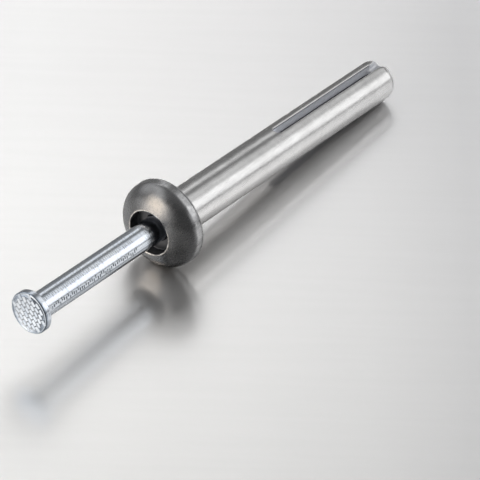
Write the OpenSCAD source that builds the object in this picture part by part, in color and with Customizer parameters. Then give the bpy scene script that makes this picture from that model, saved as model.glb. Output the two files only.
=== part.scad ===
// Hammer drive anchor lying on a level surface, with its nail started but not driven.
// Lengths are in millimetres.
// Both pieces are turned about +Z, from the nail's head at the bottom to the sleeve's tip at the top,
// and are then laid over by laid_down(), which takes +Z to +X, turns the slots, cut along Y, to face
// up and down, and drops the tip to the surface.
// The origin is where the centre line meets the flat underside of the sleeve's head.

/* [Sleeve] */

// Outside diameter of the sleeve
sleeve_d = 6.35; // [5.8:0.05:7]
// Length of the sleeve from the underside of its head to its tip
sleeve_l = 50.8; // [49:0.1:60]
// Radius of the rounded edge at the tip
tip_edge_r = 1.4; // [0.8:0.1:1.5]
// Radius in the corner between the sleeve and its head
neck_r = 0.3; // [0.15:0.05:0.5]

/* [Head] */

// Diameter of the mushroom head
head_d = 13; // [12.2:0.1:14]
// Height of the head from its underside to the rim of its mouth
head_h = 4.2; // [3.9:0.1:4.8]
// Height of the straight rim at the head's edge
rim_h = 1.2; // [0.8:0.1:1.4]
// Radius of the shoulder between the rim and the crown
shoulder_r = 2.2; // [1.9:0.1:2.4]
// Radius of the rounded lower edge of the rim
rim_edge_r = 0.25; // [0.1:0.05:0.4]
// Depth of the recess in the crown that takes the nail's head
mouth_depth = 1.8; // [1.3:0.1:2.2]
// Width of the broken edge round the mouth
mouth_edge = 0.15; // [0.05:0.05:0.25]

/* [Bore] */

// Distance from the head's underside to the seat where the bore narrows
seat_at = 20.15; // [19:0.05:21]
// Diameter of the narrow bore beyond the seat
grip_d = 3.2; // [2.8:0.1:3.4]
// Angle between the seat and the centre line, in degrees
seat_angle = 30; // [20:1:45]
// Thickness of solid metal left at the tip
cap_t = 2.1; // [1.8:0.1:4]
// Radius in the bottom corner of the narrow bore
bore_end_r = 0.4; // [0.2:0.1:0.6]

/* [Slots] */

// Width of each of the two slots
slot_w = 1.4; // [1:0.05:1.7]
// Distance from the head's underside to the start of the slots
slot_at = 24.3; // [23:0.1:26]
// Depth of the upright wall at the start of each slot
slot_step = 0.5; // [0.3:0.05:0.8]
// Length of the sloping floor between that wall and the bore
slot_ramp = 1.3; // [0.6:0.1:2]
// Distance from the tip to the end of the part of the slots that is open to the bore
slot_stop = 2.3; // [2:0.1:4.2]
// Depth of the notch that carries each slot on through the tip
notch_depth = 1.25; // [0.8:0.05:1.4]
// Radius of the two corners in the floor of the notch
notch_r = 0.45; // [0.2:0.05:0.48]

/* [Nail] */

// Diameter of the nail's shank
nail_d = 3.8; // [3.5:0.05:4]
// Length of the nail under its head
nail_l = 49.6; // [46:0.1:52]
// Diameter of the nail's head
nail_head_d = 6.2; // [5.6:0.1:6.4]
// Thickness of the nail's head
nail_head_t = 1.1; // [0.8:0.1:1.3]
// Radius of the rounded edge between the nail head's face and its rim
nail_face_r = 0.2; // [0.1:0.05:0.3]
// Width of the bevel at the back of the nail head's rim
nail_back_bevel = 0.12; // [0.05:0.01:0.2]
// Radius in the corner between the nail's shank and its head
nail_neck_r = 0.25; // [0.1:0.05:0.4]
// Diameter of the nail's flat end
nail_end_d = 2.5; // [2:0.1:2.7]

/* [Fits] */

// Gap on the radius between the nail's shank and its bore
nail_clear = 0.05; // [0.03:0.01:0.1]
// Gap on the radius between the nail's head and the recess that takes it
mouth_clear = 0.3; // [0.15:0.05:0.4]

/* [Hidden] */

$fn = 96;
eps = 0.5;

sleeve_r = sleeve_d / 2;
head_r = head_d / 2;
nail_r = nail_d / 2;
nail_head_r = nail_head_d / 2;
nail_end_r = nail_end_d / 2;
grip_r = grip_d / 2;
bore_r = nail_r + nail_clear;
mouth_r = nail_head_r + mouth_clear;

// The seat narrows from the bore to the grip, and the nail's point has the same angle and rests on it.
seat_len = (bore_r - grip_r) / tan(seat_angle);
point_at = seat_at + (bore_r - nail_r) / tan(seat_angle);
nail_end_at = point_at + (nail_r - nail_end_r) / tan(seat_angle);
nail_head_at = nail_end_at - nail_l;

bore_end = sleeve_l - cap_t;
slot_end = sleeve_l - slot_stop;

// The crown is one arc centred on the axis. It passes through the rim of the mouth
// and runs smoothly into the shoulder, which fixes its centre and its radius.
shoulder_x = head_r - shoulder_r;
crown_k = mouth_r * mouth_r - shoulder_x * shoulder_x + head_h * head_h - rim_h * rim_h
    + shoulder_r * shoulder_r;
crown_p = crown_k / (2 * shoulder_r);
crown_q = (head_h - rim_h) / shoulder_r;
crown_a = crown_q * crown_q - 1;
crown_b = 2 * crown_p * crown_q - 2 * head_h;
crown_c = crown_p * crown_p - mouth_r * mouth_r - head_h * head_h;
crown_at = (-crown_b + sqrt(crown_b * crown_b - 4 * crown_a * crown_c)) / (2 * crown_a);
crown_r = crown_p + crown_q * crown_at;
// Height of the uncut crown above the rim of the mouth, with a little to spare
crown_over = crown_r - crown_at - head_h + eps;
// Slope of the line through both arc centres, as radius gained for each step along the axis
crown_slope = shoulder_x / (crown_at + rim_h);

// Laid down, the anchor touches the surface with the rim of its head and with the two edges
// of the lower notch at its tip. The two points below are the centres of the rounded edges
// that touch, seen from the side.
tip_low_r = sqrt(sleeve_r * sleeve_r - slot_w * slot_w / 4) - tip_edge_r;
rim_low_r = head_r - rim_edge_r;
rest_run = sleeve_l - tip_edge_r + rim_edge_r;
rest_rise = rim_low_r - tip_low_r;
rest_drop = tip_edge_r - rim_edge_r;
rest_tilt = atan2(rest_rise, rest_run)
    - asin(rest_drop / sqrt(rest_run * rest_run + rest_rise * rest_rise));

// Lays a piece turned about +Z over on its side, with a slot on top and the tip on the surface
module laid_down() {
    rotate([0, 90 + rest_tilt, 0])
        rotate([0, 0, 90])
            children();
}

// Half outline of the head, with the radius along x and the axis along y
module head_outline() {
    far = 4 * crown_r;
    intersection() {
        translate([0, crown_at])
            circle(r = crown_r);
        polygon([
            [0, -far],
            [(crown_at + far) * crown_slope, -far],
            [crown_at * crown_slope, 0],
            [0, 0]
        ]);
    }
    intersection() {
        translate([shoulder_x, -rim_h])
            circle(r = shoulder_r);
        translate([0, -rim_h - shoulder_r])
            square([head_r, shoulder_r]);
    }
    polygon([
        [shoulder_x, -rim_h],
        [head_r, -rim_h],
        [head_r, -rim_edge_r],
        [head_r - rim_edge_r, 0],
        [0, 0]
    ]);
    translate([head_r - rim_edge_r, -rim_edge_r])
        circle(r = rim_edge_r);
}

// Half outline of the sleeve with its rounded tip and the small radius at its neck
module sleeve_outline() {
    translate([0, -rim_h])
        square([sleeve_r, rim_h + sleeve_l - tip_edge_r]);
    translate([0, sleeve_l - tip_edge_r - 1])
        square([sleeve_r - tip_edge_r, 1 + tip_edge_r]);
    translate([sleeve_r - tip_edge_r, sleeve_l - tip_edge_r])
        circle(r = tip_edge_r);
    difference() {
        translate([sleeve_r - neck_r, -neck_r])
            square([2 * neck_r, 2 * neck_r]);
        translate([sleeve_r + neck_r, neck_r])
            circle(r = neck_r);
    }
}

// Recess for the nail's head, the nail's bore, its seat and the narrow bore beyond
module bore_space() {
    rotate_extrude()
        union() {
            polygon([
                [0, -head_h - crown_over],
                [mouth_r + mouth_edge + crown_over, -head_h - crown_over],
                [mouth_r, -head_h + mouth_edge],
                [mouth_r, mouth_depth - head_h],
                [bore_r, mouth_depth - head_h],
                [bore_r, seat_at],
                [grip_r, seat_at + seat_len],
                [grip_r, bore_end - bore_end_r],
                [grip_r - bore_end_r, bore_end],
                [0, bore_end]
            ]);
            translate([grip_r - bore_end_r, bore_end - bore_end_r])
                circle(r = bore_end_r);
        }
}

// Both slots where they open into the bore, with the sloping floor at their start
module slot_space() {
    out = sleeve_r + eps;
    ramp_top = sleeve_r - slot_step;
    lead = (out - ramp_top) * slot_ramp / (ramp_top - grip_r);
    intersection() {
        rotate([90, 0, 90])
            linear_extrude(height = 2 * slot_w, center = true)
                polygon([
                    [-out, slot_at - lead],
                    [-grip_r, slot_at + slot_ramp],
                    [grip_r, slot_at + slot_ramp],
                    [out, slot_at - lead],
                    [out, slot_end],
                    [-out, slot_end]
                ]);
        rotate([90, 0, 0])
            linear_extrude(height = 4 * sleeve_r, center = true)
                union() {
                    translate([-slot_w / 2, slot_at + slot_w / 2])
                        square([slot_w, slot_end - slot_at - slot_w]);
                    translate([0, slot_at + slot_w / 2])
                        circle(d = slot_w);
                    translate([0, slot_end - slot_w / 2])
                        circle(d = slot_w);
                }
    }
}

// Shallow notch that carries one slot on through the tip
module notch_space() {
    floor_y = sleeve_r - notch_depth;
    start = slot_end - slot_w;
    translate([0, 0, start])
        linear_extrude(height = sleeve_l - start + eps)
            union() {
                translate([-slot_w / 2, floor_y + notch_r])
                    square([slot_w, notch_depth - notch_r + eps]);
                translate([notch_r - slot_w / 2, floor_y])
                    square([slot_w - 2 * notch_r, notch_depth]);
                translate([notch_r - slot_w / 2, floor_y + notch_r])
                    circle(r = notch_r);
                translate([slot_w / 2 - notch_r, floor_y + notch_r])
                    circle(r = notch_r);
            }
}

// Cast body: mushroom head and slotted sleeve in one piece
module anchor_body() {
    color([0.60, 0.60, 0.58])
        laid_down()
            difference() {
                rotate_extrude()
                    union() {
                        head_outline();
                        sleeve_outline();
                    }
                bore_space();
                slot_space();
                notch_space();
                mirror([0, 1, 0])
                    notch_space();
            }
}

// Steel nail with a flat head, its point resting on the seat in the bore
module drive_nail() {
    color([0.80, 0.82, 0.85])
        laid_down()
            rotate_extrude()
                union() {
                    polygon([
                        [0, nail_head_at - nail_head_t],
                        [nail_head_r - nail_face_r, nail_head_at - nail_head_t],
                        [nail_head_r, nail_head_at - nail_head_t + nail_face_r],
                        [nail_head_r, nail_head_at - nail_back_bevel],
                        [nail_head_r - nail_back_bevel, nail_head_at],
                        [nail_r, nail_head_at],
                        [nail_r, point_at],
                        [nail_end_r, nail_end_at],
                        [0, nail_end_at]
                    ]);
                    translate([nail_head_r - nail_face_r, nail_head_at - nail_head_t + nail_face_r])
                        circle(r = nail_face_r);
                    difference() {
                        translate([nail_r - nail_neck_r, nail_head_at - nail_neck_r])
                            square([2 * nail_neck_r, 2 * nail_neck_r]);
                        translate([nail_r + nail_neck_r, nail_head_at + nail_neck_r])
                            circle(r = nail_neck_r);
                    }
                }
}

anchor_body();
drive_nail();
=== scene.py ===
# %% [markdown]
# # A hammer drive anchor, laid on a satin table
# A hammer drive anchor is a zinc sleeve with a mushroom head, and a steel nail that is started in it.
# The CAD model is the fixed frame. This lesson dresses it: the same sizes, with finer edges,
# the grip marks and the checkered face of the nail, and the finishes of cast and plated zinc.

# %% Load the frame
import math

import bmesh
import bpy
import numpy as np
from mathutils import Matrix, Vector


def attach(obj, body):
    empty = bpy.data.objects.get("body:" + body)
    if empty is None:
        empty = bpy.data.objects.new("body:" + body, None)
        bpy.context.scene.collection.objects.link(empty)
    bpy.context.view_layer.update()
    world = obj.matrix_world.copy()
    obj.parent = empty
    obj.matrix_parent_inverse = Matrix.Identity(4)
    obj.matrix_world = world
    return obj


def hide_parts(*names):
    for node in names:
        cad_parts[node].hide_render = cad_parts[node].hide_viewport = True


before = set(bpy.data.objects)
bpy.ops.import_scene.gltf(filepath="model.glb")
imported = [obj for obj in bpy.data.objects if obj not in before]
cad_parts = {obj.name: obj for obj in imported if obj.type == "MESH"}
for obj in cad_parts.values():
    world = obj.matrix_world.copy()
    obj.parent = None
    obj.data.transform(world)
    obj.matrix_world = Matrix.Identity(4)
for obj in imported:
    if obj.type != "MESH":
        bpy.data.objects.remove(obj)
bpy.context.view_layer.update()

# %% [markdown]
# Every piece is drawn in its own simple place: x across, y towards the slot on top and s along the
# centre line, from the flat underside of the head to the tip, in millimetres. One function then
# lays it down as the CAD does, tilted until the tip rests on the table, and turns it into metres.

# %% Sizes and the laid down place
MM = 0.001
TILT = math.radians(3.91796)
AXIS = Vector((math.cos(TILT), 0, -math.sin(TILT)))
TOWARDS_TOP = Vector((math.sin(TILT), 0, math.cos(TILT)))
TABLE_Z = -6.46831 * MM
LAY_DOWN = Matrix((
    (0, TOWARDS_TOP.x, AXIS.x, 0),
    (1, 0, 0, 0),
    (0, TOWARDS_TOP.z, AXIS.z, 0),
    (0, 0, 0, 1)))

sleeve_r, sleeve_l, tip_edge_r = 3.175, 50.8, 1.4
head_r, rim_h = 6.5, 1.2
mouth_r, mouth_floor, bore_r, seat_at, seat_end, grip_r = 3.4, -2.4, 1.95, 20.15, 20.756, 1.6
bore_end, bore_end_r = 48.7, 0.4
slot_half, slot_at, slot_end, ramp_top, ramp_len = 0.7, 24.3, 48.5, 2.675, 1.3
notch_floor, notch_r = 1.925, 0.45
nail_r, nail_head_r, nail_face, nail_under = 1.9, 3.1, -29.3376, -28.2376
point_at, nail_end = 20.2366, 21.3624
WELD = 0.0004  # points closer than this become one


def make_piece(name, points, faces):
    """Lays points in millimetres down on the table and makes a mesh of them that faces outwards."""
    mesh = bpy.data.meshes.new(name)
    mesh.from_pydata([tuple(p) for p in points], [], faces)
    build = bmesh.new()
    build.from_mesh(mesh)
    bmesh.ops.remove_doubles(build, verts=build.verts, dist=WELD)
    bmesh.ops.dissolve_degenerate(build, edges=build.edges, dist=WELD)
    bmesh.ops.recalc_face_normals(build, faces=build.faces)
    open_edges = sum(len(edge.link_faces) != 2 for edge in build.edges)
    build.to_mesh(mesh)
    build.free()
    mesh.transform(LAY_DOWN @ Matrix.Scale(MM, 4))
    mesh.shade_smooth()
    piece = bpy.data.objects.new(name, mesh)
    bpy.context.scene.collection.objects.link(piece)
    print(name, len(mesh.polygons), "faces,", open_edges, "open edges")
    return piece


# %% [markdown]
# The camera is a long lens, high over the near side, as a product photographer would set it up to keep
# the two ends of a small part nearly parallel.

# %% Camera
camera_data = bpy.data.cameras.new("camera")
camera_data.sensor_width = 36
camera_data.lens = 229.72
camera_data.clip_start, camera_data.clip_end = 0.01, 20
camera = bpy.data.objects.new("camera", camera_data)
bpy.context.scene.collection.objects.link(camera)
bpy.context.scene.camera = camera
forward = Vector((0.62503, 0.46826, -0.62456)).normalized()
level_right = forward.cross(Vector((0, 0, 1))).normalized()
level_up = level_right.cross(forward)
roll = 0.0318
right = math.cos(roll) * level_right + math.sin(roll) * level_up
up = math.cos(roll) * level_up - math.sin(roll) * level_right
place = Vector((-261.35, -208.50, 264.15)) * MM
camera.matrix_world = Matrix((
    (right.x, up.x, -forward.x, place.x),
    (right.y, up.y, -forward.y, place.y),
    (right.z, up.z, -forward.z, place.z),
    (0, 0, 0, 1)))
part_middle = Vector((0.01, 0, 0))
print("camera", round((place - part_middle).length * 1000), "mm away")

# %% [markdown]
# Finishes are node trees. Written as arithmetic they are easy to read, so one small class stands for
# a socket: adding or multiplying two of them adds a Math node. Every other node comes from `add`,
# which first sets the node's own choices and then its sockets.

# %% A socket that can be reckoned with
class Wire:
    """One output socket. Arithmetic on it adds Math nodes."""

    def __init__(self, nodes, socket):
        self.nodes, self.socket = nodes, socket

    def _math(self, operation, *values):
        return self.nodes.add("ShaderNodeMath", {"operation": operation}, dict(enumerate(values)))

    def __add__(self, other):
        return self._math("ADD", self, other)

    def __radd__(self, other):
        return self._math("ADD", other, self)

    def __sub__(self, other):
        return self._math("SUBTRACT", self, other)

    def __rsub__(self, other):
        return self._math("SUBTRACT", other, self)

    def __mul__(self, other):
        return self._math("MULTIPLY", self, other)

    def __rmul__(self, other):
        return self._math("MULTIPLY", other, self)

    def __truediv__(self, other):
        return self._math("DIVIDE", self, other)

    def __abs__(self):
        return self._math("ABSOLUTE", self)


# %% A node tree
class Nodes:
    """A node tree, the one way to add a node to it, and short names for what comes often."""

    def __init__(self, tree):
        self.tree = tree
        tree.nodes.clear()

    def add(self, kind, settings=None, values=None, out=0):
        node = self.tree.nodes.new(kind)
        for key, value in (settings or {}).items():
            if key == "stops":
                stops = node.color_ramp.elements
                while len(stops) < len(value):
                    stops.new(0.5)
                for stop, (position, tone) in zip(stops, value):
                    stop.position = position
                    stop.color = (*tone, 1)
            else:
                setattr(node, key, value)
        for key, value in (values or {}).items():
            if isinstance(value, Wire):
                self.tree.links.new(value.socket, node.inputs[key])
            else:
                node.inputs[key].default_value = value
        return Wire(self, node.outputs[out]) if len(node.outputs) else node

    def step(self, value, start, end, low=0.0, high=1.0):
        """A smooth step of a value from start to end."""
        return self.add("ShaderNodeMapRange", {"interpolation_type": "SMOOTHSTEP"},
                        {0: value, 1: start, 2: end, 3: low, 4: high})

    def window(self, value, start, full, late, end):
        """1 from full to late, with a smooth step at either side, from start and to end."""
        return self.step(value, start, full) * self.step(value, end, late)

    def xyz(self, x=0.0, y=0.0, z=0.0):
        """A vector from numbers or wires."""
        return self.add("ShaderNodeCombineXYZ", None, {0: x, 1: y, 2: z})

    def stretch(self, vector, scale):
        """A vector with each of its numbers multiplied by its own scale."""
        return self.add("ShaderNodeVectorMath", {"operation": "MULTIPLY"}, {0: vector, 1: scale})

    def length(self, vector):
        return self.add("ShaderNodeVectorMath", {"operation": "LENGTH"}, {0: vector}, out="Value")

    def dot(self, vector, direction):
        """How far a vector goes in a direction."""
        return self.add("ShaderNodeVectorMath", {"operation": "DOT_PRODUCT"},
                        {0: vector, 1: tuple(direction)}, out="Value")

    def off_axis(self, vector):
        """How far a point is from the part's centre line."""
        return self.length(self.add("ShaderNodeVectorMath", {"operation": "CROSS_PRODUCT"},
                                    {0: vector, 1: tuple(AXIS)}))

    def noise(self, vector, scale, detail=2.0, roughness=0.5):
        return self.add("ShaderNodeTexNoise", None,
                        {"Vector": vector, "Scale": scale, "Detail": detail, "Roughness": roughness})

    def blend(self, amount, first, second, how="MIX"):
        """A colour between two colours."""
        return self.add("ShaderNodeMix", {"data_type": "RGBA", "blend_type": how},
                        {0: amount, 6: first, 7: second}, out=2)

    def coats(self, colour, layers):
        """Lays (amount, colour) layers over a colour, in order."""
        for amount, layer in layers:
            colour = self.blend(amount, colour, layer)
        return colour


def new_material(name):
    """An empty material and its node tree."""
    material = bpy.data.materials.new(name)
    material.use_nodes = True
    return material, Nodes(material.node_tree)


# %% [markdown]
# The studio is a ring of soft panels in a dim room: a large softbox on the near right, a strip
# beyond the part that the table also mirrors, and a warm panel behind on the left. The camera's own
# side stays dark, which gives the round metal its deep bands. The panels are painted into the world,
# so their edges can be as soft as wanted and nothing stands in the way from other sides.

# %% Soft panels in the world
world = bpy.data.worlds.new("studio")
bpy.context.scene.world = world
world.use_nodes = True
sky = Nodes(world.node_tree)
look = sky.add("ShaderNodeTexCoord", out="Generated")


def panel(turn, lift, half_wide, half_high, soft):
    """A soft rectangle in the direction turn, lift, in degrees: 1 inside it and 0 outside."""
    a, e = math.radians(turn), math.radians(lift)
    centre = Vector((math.cos(a) * math.cos(e), math.sin(a) * math.cos(e), math.sin(e)))
    side = Vector((-math.sin(a), math.cos(a), 0))
    top = centre.cross(side)
    depth = sky.dot(look, centre)
    ahead = sky.step(depth, 0.02, 0.1)
    wide = abs(sky.dot(look, side) / depth)
    high = abs(sky.dot(look, top) / depth)
    w, h, s = (math.tan(math.radians(v)) for v in (half_wide, half_high, soft))
    return sky.step(wide, w + s, w - s) * sky.step(high, h + s, h - s) * ahead


PANELS = [
    # turn, lift, half width, half height, softness, strength
    (-41, 21, 12, 16, 6, 1.10),
    (-20, 46, 16, 9, 9, 0.68),
    (-68, 22, 10, 12, 8, 0.50),
    (40, 33, 14, 6, 4, 0.72),
    (88, 28, 26, 12, 12, 0.50),
    (108, 57, 30, 12, 12, 0.60),
    (140, 3, 26, 6, 5, 0.45),
    (178, 20, 14, 20, 12, 0.28),
    (0, 6, 22, 7, 6, 0.70),
]
height = sky.dot(look, (0, 0, 1))
behind_camera = sky.step(sky.dot(look, (-0.72, -0.69, 0)), -0.1, 0.8)
room = (0.19 - 0.11 * behind_camera) * sky.step(height, 0.02, 0.24, 0.70, 1.0)
for turn, lift, wide, high, soft, strength in PANELS:
    room = room + panel(turn, lift, wide, high, soft) * strength
warm, warm_strength = panel(155, 22, 19, 20, 13), 1.75
tint = sky.blend(warm, (0.985, 0.992, 1.0, 1), (1.0, 0.885, 0.76, 1))
glow = sky.add("ShaderNodeBackground", None, {"Color": tint, "Strength": room + warm * warm_strength})
sky.add("ShaderNodeOutputWorld", None, {"Surface": glow})
print(len(PANELS), "soft panels")

# %% [markdown]
# A broad lamp beyond the part lights the table from the side that the table also mirrors, so the soft
# shadow and the mirror image fall on the same place. A weaker one overhead fills it. Polished metal
# would show them as a glare, so both are kept out of reflections.

# %% Two lamps
LAMPS = [
    # name, width in metres, watts, place
    ("beyond", 1.5, 142, (1.47, 1.09, 1.55)),
    ("overhead", 1.6, 6, (-0.2, -0.3, 2.2)),
]
for name, size, energy, at in LAMPS:
    lamp_data = bpy.data.lights.new(name, "AREA")
    lamp_data.shape = "DISK"
    lamp_data.size, lamp_data.energy = size, energy
    lamp = bpy.data.objects.new(name, lamp_data)
    lamp.location = at
    lamp.rotation_euler = (-Vector(at)).to_track_quat("-Z", "Y").to_euler()
    lamp.visible_glossy = False
    bpy.context.scene.collection.objects.link(lamp)
    print("lamp", name, energy, "W")

# %% [markdown]
# The table is a satin sheet. Its colour is painted a little brighter on the left and a little darker
# further away, a painted falloff of light, and it half mirrors what lies on it, more blurred the
# further the metal is above it.
# A diffuse and a glossy coat share its look. For every ray but the camera's, the sheet's colour is also
# painted darker beyond the part and close to it, a painted shade where its shadow and mirror image lie,
# so metal that looks down on it there sees it darker. The camera's own rays see the sheet without this
# painted shade.

# %% Satin table
table_mesh = bpy.data.meshes.new("table")
reach = 3.0
corners = [(x * reach, y * reach, TABLE_Z) for x, y in ((-1, -1), (1, -1), (1, 1), (-1, 1))]
table_mesh.from_pydata(corners, [], [(0, 1, 2, 3)])
table = bpy.data.objects.new("table", table_mesh)
bpy.context.scene.collection.objects.link(table)
satin, n = new_material("satin_table")
spot = n.add("ShaderNodeTexCoord", out="Object")
sideways = n.dot(spot, (0.5996, -0.8003, 0))
away = n.dot(spot, (0.8003, 0.5996, 0))
lengthwise, crosswise = n.dot(spot, (1, 0, 0)), n.dot(spot, (0, 1, 0))
# Painted falloff of light: the colour ramp makes the sheet brighter on the left and darker on the
# right.
tone = n.add("ShaderNodeValToRGB", {"stops": [
    (0.02, (0.960, 0.956, 0.945)), (0.27, (0.905, 0.898, 0.888)), (0.52, (0.840, 0.834, 0.828)),
    (0.77, (0.755, 0.752, 0.748)), (0.98, (0.650, 0.650, 0.650))]},
    {0: n.add("ShaderNodeMapRange", None, {0: sideways, 1: -0.024, 2: 0.044})})
speckle = n.noise(spot, 900, 3)
rolled = n.noise(n.xyz(sideways * 0.05, away), 700, 3)
# Painted falloff of light: the sheet's colour is darker further away.
tone = n.blend(n.step(away, -0.035, 0.060), tone, (0.80, 0.80, 0.805, 1), "MULTIPLY")
tone = n.blend(n.step(rolled, 0.3, 0.7, 0.0, 0.5), tone, (0.965, 0.965, 0.965, 1), "MULTIPLY")
seen = n.add("ShaderNodeLightPath", out="Is Camera Ray")
# Painted shade: for every ray but the camera's, the sheet is darkened beyond the part and close to it,
# where its shadow and mirror image lie.
beyond = n.step(crosswise, 0.003, 0.013, 1.0, 0.18)
painted_shade_near = n.step(lengthwise, 0.016, 0.004) * n.step(crosswise, 0.007, 0.002)
painted_shade = beyond * (1.0 - painted_shade_near * 0.8)
shown = n.blend(seen + (1.0 - seen) * painted_shade, (0, 0, 0, 1), tone)
cloth = n.add("ShaderNodeBsdfPrincipled", None, {
    "Base Color": shown, "Roughness": 0.6, "Specular IOR Level": 0.3})
sheen = n.add("ShaderNodeBsdfPrincipled", None, {
    "Base Color": tone, "Metallic": 1.0, "Roughness": n.step(speckle, 0.2, 0.8, 0.18, 0.22)})
sheen_share = 0.70
n.add("ShaderNodeOutputMaterial", None, {
    "Surface": n.add("ShaderNodeMixShader", None, {0: sheen_share, 1: cloth, 2: sheen})})
table_mesh.materials.append(satin)
print("table", 2 * reach, "m square")

# %% [markdown]
# Cast zinc is a plain grey metal with a soft sheen: fine grain from the mould, faint lines where the
# sleeve was drawn out of it, and a darker, more tumbled skin on the head, painted brighter on its rim,
# partly wear and partly a painted highlight.
# The slot's walls are dull. A thin band under the slot's lip, the recess and the bore are painted dark,
# a painted shade, and the recess has a thin bright edge, partly wear and partly a painted highlight.
# The pattern is solid, in object coordinates, so it runs through edges without a seam. Every metal
# here ends in the same few nodes, so one helper writes them.

# %% The end of a metal's tree
RELIEF = 0.00002  # metres from the lowest to the highest point of a grain


def finish_metal(n, skin, rough, bumps, strength, metallic=1.0):
    """Ends a tree with one metal that has a skin colour, a roughness and a fine relief."""
    relief = n.add("ShaderNodeBump", None, {"Strength": strength, "Distance": RELIEF, "Height": bumps})
    metal = n.add("ShaderNodeBsdfPrincipled", None, {
        "Base Color": skin, "Metallic": metallic, "Roughness": rough, "Normal": relief})
    n.add("ShaderNodeOutputMaterial", None, {"Surface": metal})


# %% Cast zinc
zinc, n = new_material("grained_zinc")
spot = n.add("ShaderNodeTexCoord", out="Object")
along, from_line = n.dot(spot, AXIS), n.off_axis(spot)
on_head = n.step(along, 0.0001, -0.0002)
in_slot = n.step(from_line, 0.00290, 0.00282) * n.window(along, 0.0236, 0.0240, 0.0482, 0.0487)
# Painted shade: a thin dark band just inside the slot's lip.
slot_lip_shade = n.step(from_line, 0.00306, 0.00300) * n.window(along, 0.0246, 0.0250, 0.0482, 0.0487)
# Painted shade: the bore is painted dark. Its mask has no end along the centre line, so the solid end
# face of the tip is painted dark too.
bore_shade = n.step(from_line, 0.00172, 0.00163) * n.step(along, 0.0040, 0.0060)
# Painted shade: the recess inside the mouth is painted dark; the same mask also makes it rougher.
in_mouth = n.step(from_line, 0.00344, 0.00338) * n.step(along, -0.0018, -0.0024)
# The mouth's edge is painted as a thin bright ring, partly wear and partly a painted highlight.
at_mouth = n.step(abs(from_line - 0.00341), 0.00015, 0.00006) * n.step(along, -0.0037, -0.0040)
mouth_rim_wear_and_highlight = at_mouth * n.step(n.noise(spot, 800), 0.40, 0.60, 0.05, 0.95)
worn = n.step(n.noise(spot, 1900, 3, 0.6), 0.38, 0.62, 0.45, 1.0)
# The outer rim is painted brighter, partly wear and partly a painted highlight where the softbox's band
# lies on it.
rim_wear_and_highlight = worn * n.step(from_line, 0.00641, 0.00646)
scoop = n.step(from_line, 0.00306, 0.00290) * n.step(along, 0.0483, 0.0488)
print(zinc.name, len(n.tree.nodes), "nodes tell its places apart")

# %% The grain and colour of the zinc
cloud = n.noise(spot, 260, 3, 0.55)
peel = n.noise(spot, 2900, 2, 0.5)
grain = n.noise(spot, 5200, 2, 0.6)
drawn = n.noise(n.stretch(spot, (0.12, 1, 1)), 2600, 3, 0.6)
patchy = n.step(cloud, 0.3, 0.7)
bright = n.blend(patchy, (0.745, 0.737, 0.728, 1), (0.815, 0.808, 0.799, 1))
dull = n.blend(patchy, (0.365, 0.365, 0.372, 1), (0.430, 0.430, 0.434, 1))
skin = n.coats(bright, (
    (on_head, dull),
    (rim_wear_and_highlight, (0.62, 0.62, 0.622, 1)),
    (scoop, (0.84, 0.85, 0.88, 1)),
    (slot_lip_shade, (0.20, 0.205, 0.215, 1)),
    (in_slot, (0.60, 0.61, 0.64, 1)),
    (bore_shade, (0.10, 0.10, 0.11, 1)),
    (in_mouth, (0.115, 0.12, 0.132, 1)),
    (mouth_rim_wear_and_highlight, (0.82, 0.82, 0.81, 1))))
rough = (n.step(drawn, 0.25, 0.75, 0.19, 0.29) + on_head * 0.02 + in_slot * 0.35
         + in_mouth * 0.15 + scoop * 0.25 - mouth_rim_wear_and_highlight * 0.05)
bumps = grain * 0.4 + drawn * (1.0 - on_head) * 0.8 + peel * on_head * 1.1 + cloud * 8.0
finish_metal(n, skin, rough, bumps, 0.30, metallic=1.0 - in_slot)
print(zinc.name, len(n.tree.nodes), "nodes")

# %% [markdown]
# Bright zinc plate on steel is bluer and smoother, close to a mirror, with fine lines round the wire
# and two faint lines along it, left by the jaws that held it while its head was pressed.

# %% Bright zinc plate
plate, n = new_material("bright_zinc")
spot = n.add("ShaderNodeTexCoord", out="Object")
along, from_line = n.dot(spot, AXIS), n.off_axis(spot)
on_face = n.step(along, -0.0288, -0.0291)
# Painted shade: the face between the checkers is painted darker.
between = n.window(along, -0.02931, -0.02929, -0.0292, -0.0291) * n.step(from_line, 0.00262, 0.00225)
under_head = n.step(along, -0.0268, -0.0255) * n.step(from_line, 0.0020, 0.00195)
jaw_line = n.step(abs(n.dot(spot, TOWARDS_TOP) - 0.00006), 0.00016, 0.00005) * under_head
cloud = n.noise(spot, 420, 3, 0.55)
lines = n.noise(n.stretch(spot, (0.10, 1, 1)), 3000, 3, 0.6)
rings = n.noise(n.stretch(spot, (1, 0.16, 0.16)), 2700, 3, 0.65)
grain = n.noise(spot, 7000, 2, 0.5)
bright = n.blend(n.step(cloud, 0.3, 0.7), (0.835, 0.89, 0.97, 1), (0.90, 0.945, 1.0, 1))
skin = n.coats(bright, (
    (n.step(rings, 0.50, 0.72, 0.0, 0.30), (0.50, 0.56, 0.65, 1)),
    (jaw_line * 0.7, (0.34, 0.38, 0.44, 1)),
    (on_face, (0.62, 0.70, 0.81, 1)),
    (between, (0.42, 0.46, 0.52, 1))))
rough = n.step(rings, 0.25, 0.75, 0.12, 0.20) + between * 0.2
finish_metal(n, skin, rough, lines * 0.35 + rings * 1.9 + grain * 0.3, 0.40)
print(plate.name, len(n.tree.nodes), "nodes")

# %% [markdown]
# The grip marks are painted darker than the plate, a painted shade that stands in for the dark
# that their flanks would mirror.

# %% Pressed marks
pressed, n = new_material("pressed_marks_painted_dark")
spot = n.add("ShaderNodeTexCoord", out="Object")
cloud = n.noise(spot, 1500, 3, 0.6)
patchy = n.step(cloud, 0.3, 0.7)
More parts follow.
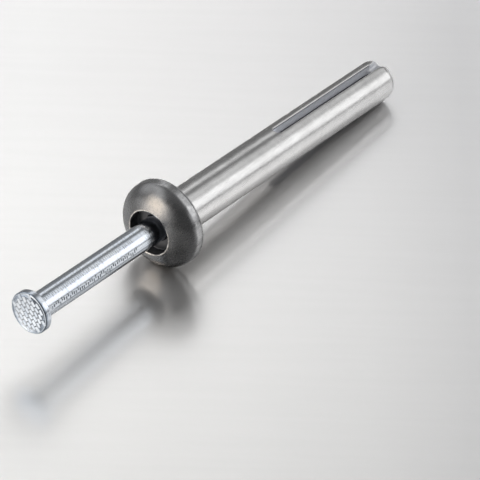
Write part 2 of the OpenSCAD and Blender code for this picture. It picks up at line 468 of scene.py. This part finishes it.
# Painted shade: the marks are painted darker than the plate.
skin = n.blend(patchy, (0.28, 0.31, 0.36, 1), (0.70, 0.74, 0.80, 1))
finish_metal(n, skin, n.step(cloud, 0.3, 0.7, 0.38, 0.24), n.noise(spot, 6000, 2), 0.3)
print(pressed.name, len(n.tree.nodes), "nodes")

# %% [markdown]
# The cast body is the same in all four quarters round its centre line, so one quarter is drawn as grids
# of points and mirrored. Each grid follows the shape: rings round the head and the plain sleeve,
# rows that run from the side of the sleeve over the rounded lip of the slot and down its wall, the
# sloping floor, the notch through the tip and the stepped bore. A boolean cut could make the same
# solid, but its sharp, ragged edges would not take the small rounding that shows as a bright line.

# %% Grids of points
grids = []


def grid(rows):
    """Keeps a grid of points, a list of rows of the same length, as faces of the quarter."""
    grids.append(np.array(rows, float))


def ring(radius, s, angles):
    """Points on a circle, at angles from the top of the quarter."""
    return [(radius * math.sin(a), radius * math.cos(a), s) for a in angles]


def arc(centre, radius, start, end, count):
    """Points (radius, s) on an arc of an outline, with its angles in degrees."""
    angles = [math.radians(a) for a in np.linspace(start, end, count)]
    return [(centre[0] + radius * math.cos(a), centre[1] + radius * math.sin(a)) for a in angles]


# %% [markdown]
# Round the start of the slot the rings have to give way to its round end. A square patch does it: its
# outer side meets the rings, and its inner side is the half circle.

# %% Angles and stations
patch, steps, side_steps = 1.25, 10, 24
slot_mid = slot_at + slot_half
patch_turn = math.asin(patch / sleeve_r)
turns = [math.radians(90 * i / (2 * steps)) for i in range(2 * steps + 1)]
side_angles = [patch_turn + (math.pi / 2 - patch_turn) * i / side_steps for i in range(side_steps + 1)]
top_angles = [math.asin(patch * math.tan(t) / sleeve_r) for t in turns[:steps + 1]]
all_angles = top_angles + side_angles[1:]
print(len(all_angles), "angles in a quarter")

# %% [markdown]
# The head's outline goes from the edge of the mouth over the crown, one half ellipse that runs
# smoothly into the rim, and round the rim to the flat underside. A shallow ring is sunk round the neck,
# where the mould's two halves meet the sleeve.

# %% Head, neck and plain sleeve
crown_h, crown_r, crown_start_r = 3.51, head_r - 0.04, 3.53
outline = [(mouth_r - 0.10, -3.99), (mouth_r - 0.10, -4.08), (mouth_r - 0.04, -4.14)]
for a in np.linspace(math.asin(crown_start_r / crown_r), math.pi / 2, 42):
    outline.append((crown_r * math.sin(a), -rim_h - crown_h * math.cos(a)))
outline += [(crown_r, -0.42), (head_r - 0.03, -0.36), (head_r, -0.31), (head_r, -0.26)]
outline += [(head_r - 0.03, -0.21)]
outline += arc((head_r - 0.24, -0.20), 0.20, 0, 90, 6)
outline += [(5.2, 0), (4.2, 0), (3.86, 0), (3.80, 0.02), (3.76, 0.07), (3.70, 0.10), (3.56, 0.11)]
outline += arc((sleeve_r + 0.26, 0.37), 0.26, 270, 180, 7)
outline += [(sleeve_r, s) for s in np.linspace(1.5, slot_mid - patch, 12)]
grid([ring(r, s, all_angles) for r, s in outline])
floor_round = 0.18
inside = [(mouth_r - 0.10, -3.99), (mouth_r, -3.80), (mouth_r, mouth_floor - floor_round)]
inside += arc((mouth_r - floor_round, mouth_floor - floor_round), floor_round, 0, 90, 5)[1:]
inside += [(bore_r + 0.12, mouth_floor), (bore_r + 0.03, mouth_floor + 0.03)]
inside += [(bore_r, mouth_floor + 0.12), (bore_r, seat_at), (grip_r, seat_end)]
grid([ring(r, s, all_angles) for r, s in inside])
print("head and neck", len(outline), "rings")

# %% [markdown]
# The lip of the slot is a small fillet. At each point of the slot's edge it touches the upright wall
# and the round outside, so its centre follows from the slope of the surface there.

# %% The lip of the slot
LIP, SCOOP = 0.18, 0.46
NEAR, LEAST = 1e-9, 1e-6  # stations this close are the same one, and no rounding is smaller


def lip_size(s):
    """The lip is small along the slot and widens into a smooth scoop towards the tip."""
    k = min(max((s - slot_end + 0.2) / 1.6, 0), 1)
    return LIP + (SCOOP - LIP) * k * k * (3 - 2 * k)


def surface(radius, x):
    """The height of a round surface at x."""
    return math.sqrt(max(radius * radius - x * x, 0))


def lip_points(edge, normal, radius, size, count=6):
    """Points of the fillet from the outside surface down to the wall, as (x, y, shift along s)."""
    size = max(size, LEAST)
    reach_out = size * 1.2
    for _ in range(3):
        x = edge[0] + normal[0] * reach_out
        slope = -x * normal[0] / max(surface(radius, x), LEAST)
        tilt = math.atan(slope)
        reach_out = size * (1 - math.sin(tilt))
    at_wall = surface(radius, edge[0] + normal[0] * reach_out) - slope * reach_out
    middle = at_wall + size * math.tan(tilt) - size / math.cos(tilt)
    found = []
    for a in np.linspace(math.pi / 2 + tilt, math.pi, count):
        out = size + size * math.cos(a)
        found.append((edge[0] + normal[0] * out, middle + size * math.sin(a), normal[1] * out))
    return found


# %% Groove, ramp and narrow bore
def groove(share, corner, reach):
    """A point of a groove's section that starts upright at the wall: how far inwards and how high."""
    corner = max(corner, LEAST)
    bend = corner * math.pi / 2
    full = corner * math.acos(1 - reach / corner) if reach < corner else bend + reach - corner
    run = share * full
    if run < bend:
        return corner * (1 - math.cos(run / corner)), corner * (1 - math.sin(run / corner))
    return corner + run - bend, 0.0


def bore_at(s):
    """The radius of the narrow bore, whose closed end has a round edge."""
    if s < bore_end - bore_end_r:
        return grip_r
    return grip_r - bore_end_r + math.sqrt(max(bore_end_r ** 2 - (s - bore_end + bore_end_r) ** 2, 0))


ramp_slope = (ramp_top - grip_r) / ramp_len
ramp_foot = slot_at + ramp_len
ramp_out = ramp_foot + (grip_r - surface(grip_r, slot_half)) / ramp_slope
round_from = slot_end - slot_half


def opening(s):
    """Half the width of the slot where it opens into the bore."""
    if s <= ramp_foot or s >= slot_end:
        return 0.0
    if s < ramp_out:
        return surface(grip_r, grip_r - (s - slot_at - ramp_len) * ramp_slope)
    if s <= round_from:
        return slot_half
    return surface(slot_half, s - round_from)


print("the ramp opens into the bore at", round(ramp_out, 2), "mm")


# %% Stations along the slot
def onward(start, end, count):
    """Even steps from start to end, without the start."""
    return list(np.linspace(start, end, count)[1:])


def slot_start_rows():
    """Rows round the slot's start: (edge, normal, radius, outer point of the patch)."""
    for t in turns:
        edge = (slot_half * math.sin(t), slot_mid - slot_half * math.cos(t))
        if t <= turns[steps]:
            far = (patch * math.tan(t), slot_mid - patch)
        else:
            far = (patch, slot_mid - patch / math.tan(t))
        yield edge, (math.sin(t), -math.cos(t)), sleeve_r, far


def straight_rows():
    """Rows along the straight part of the slot, to where the tip's round edge begins."""
    stations = onward(slot_mid, ramp_foot, 4) + onward(ramp_foot, ramp_out, 6)
    stations += onward(ramp_out, round_from, 26)
    stations += [round_from + slot_half * math.sin(math.radians(a)) for a in onward(0, 90, 11)]
    for s in stations + onward(slot_end, sleeve_l - tip_edge_r, 7):
        yield (slot_half, s), (1, 0), sleeve_r, (patch, s)


def tip_rows():
    """Rows over the tip's round edge, past where the notch's floor comes out."""
    low, out = (math.degrees(math.acos((reached - sleeve_r + tip_edge_r) / tip_edge_r))
                for reached in (math.hypot(notch_floor, slot_half), notch_floor))
    for a in onward(0, low, 20) + onward(low, out, 8) + onward(out, 90, 4):
        radius = sleeve_r - tip_edge_r + tip_edge_r * math.cos(math.radians(a))
        s = sleeve_l - tip_edge_r + tip_edge_r * math.sin(math.radians(a))
        wall = surface(radius, slot_half) - notch_floor
        x = slot_half if wall > LEAST else surface(radius, notch_floor)
        yield (x, s), (1, 0), radius, (patch, s)


slot_start = list(slot_start_rows())
rows = slot_start + list(straight_rows()) + list(tip_rows())
print(len(rows), "stations")


# %% Rows over the lip
over, walls = [], []
for number, (edge, normal, radius, far) in enumerate(rows):
    x, s = edge
    notch = s >= round_from - NEAR and number >= len(slot_start)
    depth = max(surface(radius, x) - notch_floor, 0) if notch else math.inf
    lips = lip_points(edge, normal, radius, min(lip_size(s), 0.45 * depth))
    first = (lips[0][0], s + lips[0][2])
    row = []
    for k in (0, 0.25, 0.5, 0.75):
        px, ps = far[0] + (first[0] - far[0]) * k, far[1] + (first[1] - far[1]) * k
        row.append((px, surface(radius, px), ps))
    over.append(row + [(p[0], p[1], s + p[2]) for p in lips])
    walls.append((edge, normal, radius, lips[-1][1], notch, depth))
grid(over)
print("slot and tip", len(rows), "rows")

# %% Walls and floors
def column(x, top, bottom, s):
    """Points down a wall."""
    return [(x, top + (bottom - top) * j / 4, s) for j in range(5)]


upper, lower, ramp, tail, hole = [], [], [], [], []
split = notch_floor + notch_r
bottom_edge = surface(grip_r, slot_half)
for (x, s), normal, radius, lip_y, notch, depth in walls:
    base = bottom_edge
    if s <= ramp_out + NEAR:
        corner = 0.12 * min(1.0, max((ramp_out - s) / 0.2, 0.0))
        base = ramp_top - (s - slot_at) * ramp_slope + corner
        reach = slot_half if s <= slot_mid + NEAR else slot_half - opening(s)
        line = []
        for j in range(9):
            inwards, height = groove(j / 8, corner, reach)
            px, ps = x - normal[0] * inwards, s - normal[1] * inwards
            line.append((px, ramp_top - (ps - slot_at) * ramp_slope + height, ps))
        ramp.append(line)
    if s <= round_from + NEAR:
        fraction = (lip_y - split) / (lip_y - bottom_edge) if lip_y > split else 0.0
        middle = lip_y + (base - lip_y) * fraction
        upper.append(column(x, lip_y, middle, s))
        lower.append(column(x, middle, base, s))
    if notch:
        level = min(notch_floor, radius)
        corner = min(notch_r, 0.5 * depth, max(lip_y - level, 0))
        if s > round_from + NEAR:
            upper.append(column(x, lip_y, level + corner, s))
        gap = opening(s)
        line = []
        for j in range(13):
            inwards, height = groove(j / 12, corner, x - gap)
            line.append((x - inwards, level + height, s))
        tail.append(line)
        if s <= slot_end + NEAR:
            hole.append(column(line[-1][0], line[-1][1], surface(bore_at(s), gap), s))
for part in (upper, lower, ramp, tail, hole):
    grid(part)
print("walls", len(upper) + len(lower), "rows, ramp", len(ramp), "rows")

# %% [markdown]
# The round side of the sleeve closes the outside, down to the end face. The bore is drawn as rings
# that begin at the edge of the slot's opening, so they meet the floor without a gap.

# %% Side of the sleeve, end face and bore
side_rows = [ring(sleeve_r, slot_mid - patch, side_angles)]
for _, _, radius, far in rows[steps + 1:]:
    start = math.asin(min(patch / radius, 1))
    side_rows.append(ring(radius, far[1], np.linspace(start, math.pi / 2, side_steps + 1)))
grid(side_rows)
tip_rim = side_rows[-1][::-1] + over[-1][1:]
grid([[(p[0] * k, p[1] * k, sleeve_l) for p in tip_rim] for k in (1.0, 0.6, 0.25, 0.0)])


def bore_ring(radius, s, half_open=0.0):
    """A ring of the bore from the edge of the opening round to the side."""
    start = math.asin(min(half_open / radius, 1)) if radius else 0.0
    return ring(radius, s, [start + (math.pi / 2 - start) * a / (math.pi / 2) for a in all_angles])


bore_rows = [bore_ring(grip_r, s) for s in np.linspace(seat_end, ramp_foot, 5)]
for (_, s), _, _, _ in rows[len(slot_start):]:
    if ramp_foot + NEAR < s <= slot_end + NEAR:
        bore_rows.append(bore_ring(bore_at(s), s, opening(s)))
for s in onward(slot_end, bore_end, 5):
    bore_rows.append(bore_ring(bore_at(s), s))
bore_rows += [bore_ring(r, bore_end) for r in (0.6, 0.0)]
grid(bore_rows)
print(len(bore_rows), "rings of the bore,", len(grids), "grids")

# %% [markdown]
# The four quarters are the same grids with x, y or both turned over. Points that meet are merged, and
# the faces are turned outwards once, when the body is closed.

# %% Join the quarters
flash_reach, flash_wave, flash_sink = 0.22, 0.06, 0.05


def ragged(x, y, s):
    """Moves a point at the edge of the mouth a little: the thin flash there is never quite round."""
    radius, angle = math.hypot(x, y), math.atan2(x, y)
    near = max(0.0, 1 - math.hypot(radius - mouth_r - 0.03, s + 4.05) / flash_reach)
    ripple = (0.5 * math.sin(3 * angle + 0.7) + 0.35 * math.sin(8 * angle + 2)
              + 0.25 * math.sin(19 * angle))
    k = 1 + flash_wave * near * ripple / max(radius, 0.1)
    return x * k, y * k, s - flash_sink * near * (0.5 + 0.5 * math.sin(5 * angle + 1))


points, faces = [], []
for flip_x in (1, -1):
    for flip_y in (1, -1):
        for g in grids:
            first = len(points)
            rows_n, cols_n = g.shape[:2]
            points += [ragged(p[0] * flip_x, p[1] * flip_y, p[2]) for p in g.reshape(-1, 3)]
            for i in range(rows_n - 1):
                for j in range(cols_n - 1):
                    a = first + i * cols_n + j
                    faces.append((a, a + 1, a + cols_n + 1, a + cols_n))
body = make_piece("anchor_body_cast", points, faces)
body.data.materials.append(zinc)
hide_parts("anchor_body")
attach(body, "root")

# %% [markdown]
# The nail is turned from one outline. Its face is sunk a little inside the rim, because the checkers
# stand on it and come up level with the rim.

# %% Nail
face_sunk = 0.05
nail_outline = [(0, nail_face + face_sunk), (1.4, nail_face + face_sunk), (2.80, nail_face + face_sunk),
                (2.83, nail_face + 0.02), (2.85, nail_face)]
nail_outline += arc((nail_head_r - 0.22, nail_face + 0.22), 0.22, 270, 360, 7)
nail_outline += [(nail_head_r - 0.012, nail_face + 0.55), (nail_head_r - 0.01, nail_face + 0.80)]
nail_outline += arc((nail_head_r - 0.12, nail_under - 0.12), 0.12, 0, 90, 5)
nail_outline += [(2.5, nail_under), (nail_r + 0.26, nail_under)]
nail_outline += arc((nail_r + 0.25, nail_under + 0.25), 0.25, 270, 180, 7)
nail_outline += [(nail_r, s) for s in np.linspace(nail_under + 1.0, point_at, 24)]
nail_outline += [(1.25, nail_end), (0, nail_end)]
around = np.linspace(0, 2 * math.pi, 129)
nail_rows = [ring(r, s, around) for r, s in nail_outline]
points = [p for row in nail_rows for p in row]
width = len(around)
faces = [(i * width + j, i * width + j + 1, (i + 1) * width + j + 1, (i + 1) * width + j)
         for i in range(len(nail_rows) - 1) for j in range(width - 1)]
nail = make_piece("drive_nail_turned", points, faces)
nail.data.materials.append(plate)
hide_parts("drive_nail")
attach(nail, "root")

# %% [markdown]
# A hammer would skid on a polished face, so it is pressed with rows of small checkers, laid like
# bricks. Geometry Nodes does it well: points on a grid, every other row moved by half a step, those
# near the rim taken away, and a flat, four-sided stud put on each, never quite straight.

# %% A geometry tree and its result
def new_tree(name, inputs):
    """A geometry tree with named number inputs: its node writer, input wires and identifiers."""
    tree = bpy.data.node_groups.new(name, "GeometryNodeTree")
    ids = {}
    for label, value in inputs.items():
        kind = "NodeSocketInt" if isinstance(value, int) else "NodeSocketFloat"
        socket = tree.interface.new_socket(label, in_out="INPUT", socket_type=kind)
        socket.default_value = value
        ids[label] = socket.identifier
    tree.interface.new_socket("Geometry", in_out="OUTPUT", socket_type="NodeSocketGeometry")
    nodes = Nodes(tree)
    source = tree.nodes.new("NodeGroupInput")
    return nodes, {label: Wire(nodes, source.outputs[label]) for label in inputs}, ids


def run_tree(name, nodes, ids, values, result, material):
    """Ends a tree with real geometry and a material, runs it once and returns the plain piece."""
    real = nodes.add("GeometryNodeRealizeInstances", None, {0: result})
    dressed = nodes.add("GeometryNodeSetMaterial", None, {"Geometry": real, "Material": material})
    nodes.add("NodeGroupOutput", None, {0: dressed})
    host = bpy.data.objects.new(name, bpy.data.meshes.new(name + "_start"))
    bpy.context.scene.collection.objects.link(host)
    modifier = host.modifiers.new("tree", "NODES")
    modifier.node_group = nodes.tree
    for label, value in values.items():
        modifier[ids[label]] = value
    bpy.context.view_layer.update()
    made = bpy.data.meshes.new_from_object(host.evaluated_get(bpy.context.evaluated_depsgraph_get()))
    host.modifiers.remove(modifier)
    host.data = made
    made.transform(LAY_DOWN @ Matrix.Scale(MM, 4))
    print(name, len(made.polygons), "faces")
    return host


def chance(n, low, high, seed):
    """A number drawn at random for each copy."""
    return n.add("FunctionNodeRandomValue", {"data_type": "FLOAT"},
                 {2: low, 3: high, "Seed": seed}, out=1)


# %% Checkers on the face
sizes = {"Pitch Long": 0.98, "Pitch Short": 0.58, "Rows Long": 8, "Rows Short": 11, "Reach": 2.66,
         "Stud": 0.42, "Height": 0.10, "Level": nail_face + 0.015}
n, given, ids = new_tree("face_checkers", sizes)
lattice = n.add("GeometryNodeMeshGrid", None, {
    "Size X": given["Pitch Long"] * (given["Rows Long"] - 1.0),
    "Size Y": given["Pitch Short"] * (given["Rows Short"] - 1.0),
    "Vertices X": given["Rows Long"], "Vertices Y": given["Rows Short"]})
where = n.add("GeometryNodeInputPosition")
row = n.add("ShaderNodeMath", {"operation": "ROUND"}, {
    0: n.dot(where, (0, 1, 0)) / given["Pitch Short"]})
odd = n.add("ShaderNodeMath", {"operation": "PINGPONG"}, {0: row, 1: 1.0})
laid = n.add("GeometryNodeSetPosition", None, {
    "Geometry": lattice, "Offset": n.xyz(odd * given["Pitch Long"] * 0.5)})
too_far = n.add("FunctionNodeCompare", {"data_type": "FLOAT", "operation": "GREATER_THAN"}, {
    0: n.length(where), 1: given["Reach"]})
kept = n.add("GeometryNodeDeleteGeometry", {"domain": "POINT"}, {
    "Geometry": laid, "Selection": too_far})
cone = n.add("GeometryNodeMeshCone", {"fill_type": "NGON"}, {
    "Vertices": 4, "Radius Top": given["Stud"] * 0.84, "Radius Bottom": given["Stud"],
    "Depth": given["Height"]})
square = n.add("GeometryNodeTransform", None, {"Geometry": cone, "Rotation": (0, 0, math.radians(45))})
stud = n.add("GeometryNodeTransform", None, {"Geometry": square, "Scale": (1.62, 1.0, 1.0)})
size = chance(n, 0.86, 1.02, 4)
spin = chance(n, -0.14, 0.14, 9)
lean = chance(n, -0.03, 0.03, 2)
studs = n.add("GeometryNodeInstanceOnPoints", None, {
    "Points": kept, "Instance": stud, "Scale": size, "Rotation": n.xyz(lean, 0.0, spin)})
turned = n.add("GeometryNodeTransform", None, {
    "Geometry": studs, "Rotation": (math.pi, 0, math.radians(49)),
    "Translation": n.xyz(z=given["Level"] + given["Height"])})
checkers = run_tree("nail_face_checkers", n, ids, sizes, turned, plate)
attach(checkers, "root")

# %% [markdown]
# The shank carries short cross ridges, rolled into it in bands, that bite in the bore. Each ridge is a
# little arc round the wire, swept with a sharp-edged section, and repeated along a line.

# %% Grip marks on the shank
def grip_marks(name, angle, half_angle, start, count, pitch, size):
    """A band of cross ridges at an angle from the top of the nail towards its near side."""
    sizes = {"Marks": count, "Pitch": pitch, "Shank": nail_r, "Width": size, "Start": start}
    n, given, ids = new_tree(name, sizes)
    bow = n.add("GeometryNodeCurveArc", {"mode": "RADIUS"}, {
        "Resolution": 9, "Radius": given["Shank"] - given["Width"] * 0.12,
        "Start Angle": math.radians(90 + angle - half_angle),
        "Sweep Angle": math.radians(2 * half_angle)})
    edge = n.add("GeometryNodeCurvePrimitiveCircle", {"mode": "RADIUS"}, {
        "Resolution": 4, "Radius": given["Width"]})
    ridge = n.add("GeometryNodeCurveToMesh", None, {
        "Curve": bow, "Profile Curve": edge, "Fill Caps": True})
    line = n.add("GeometryNodeMeshLine", {"mode": "OFFSET"}, {
        "Count": given["Marks"], "Start Location": n.xyz(z=given["Start"]),
        "Offset": n.xyz(z=given["Pitch"])})
    swing = chance(n, -0.13, 0.13, 7)
    tilt = chance(n, -0.05, 0.05, 3)
    width = chance(n, 0.6, 1.2, 5)
    marks = n.add("GeometryNodeInstanceOnPoints", None, {
        "Points": line, "Instance": ridge,
        "Rotation": n.xyz(tilt, 0.0, swing), "Scale": n.xyz(1.0, 1.0, width)})
    piece = run_tree(name, n, ids, sizes, marks, pressed)
    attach(piece, "root")


BANDS = [
    # name, angle and half its width in degrees, start, count, pitch, size
    ("grip_marks_near", 73, 7, nail_under + 1.6, 44, 0.41, 0.105),
    ("grip_marks_far", 253, 7, nail_under + 1.6, 44, 0.41, 0.105),
    ("grip_ticks_upper", 26, 9, nail_under + 1.0, 50, 0.37, 0.050),
    ("grip_ticks_lower", 206, 9, nail_under + 1.0, 50, 0.37, 0.050),
]
for band in BANDS:
    grip_marks(*band)

# %% [markdown]

# %% Finish
bpy.context.scene.view_settings.view_transform = "Standard"
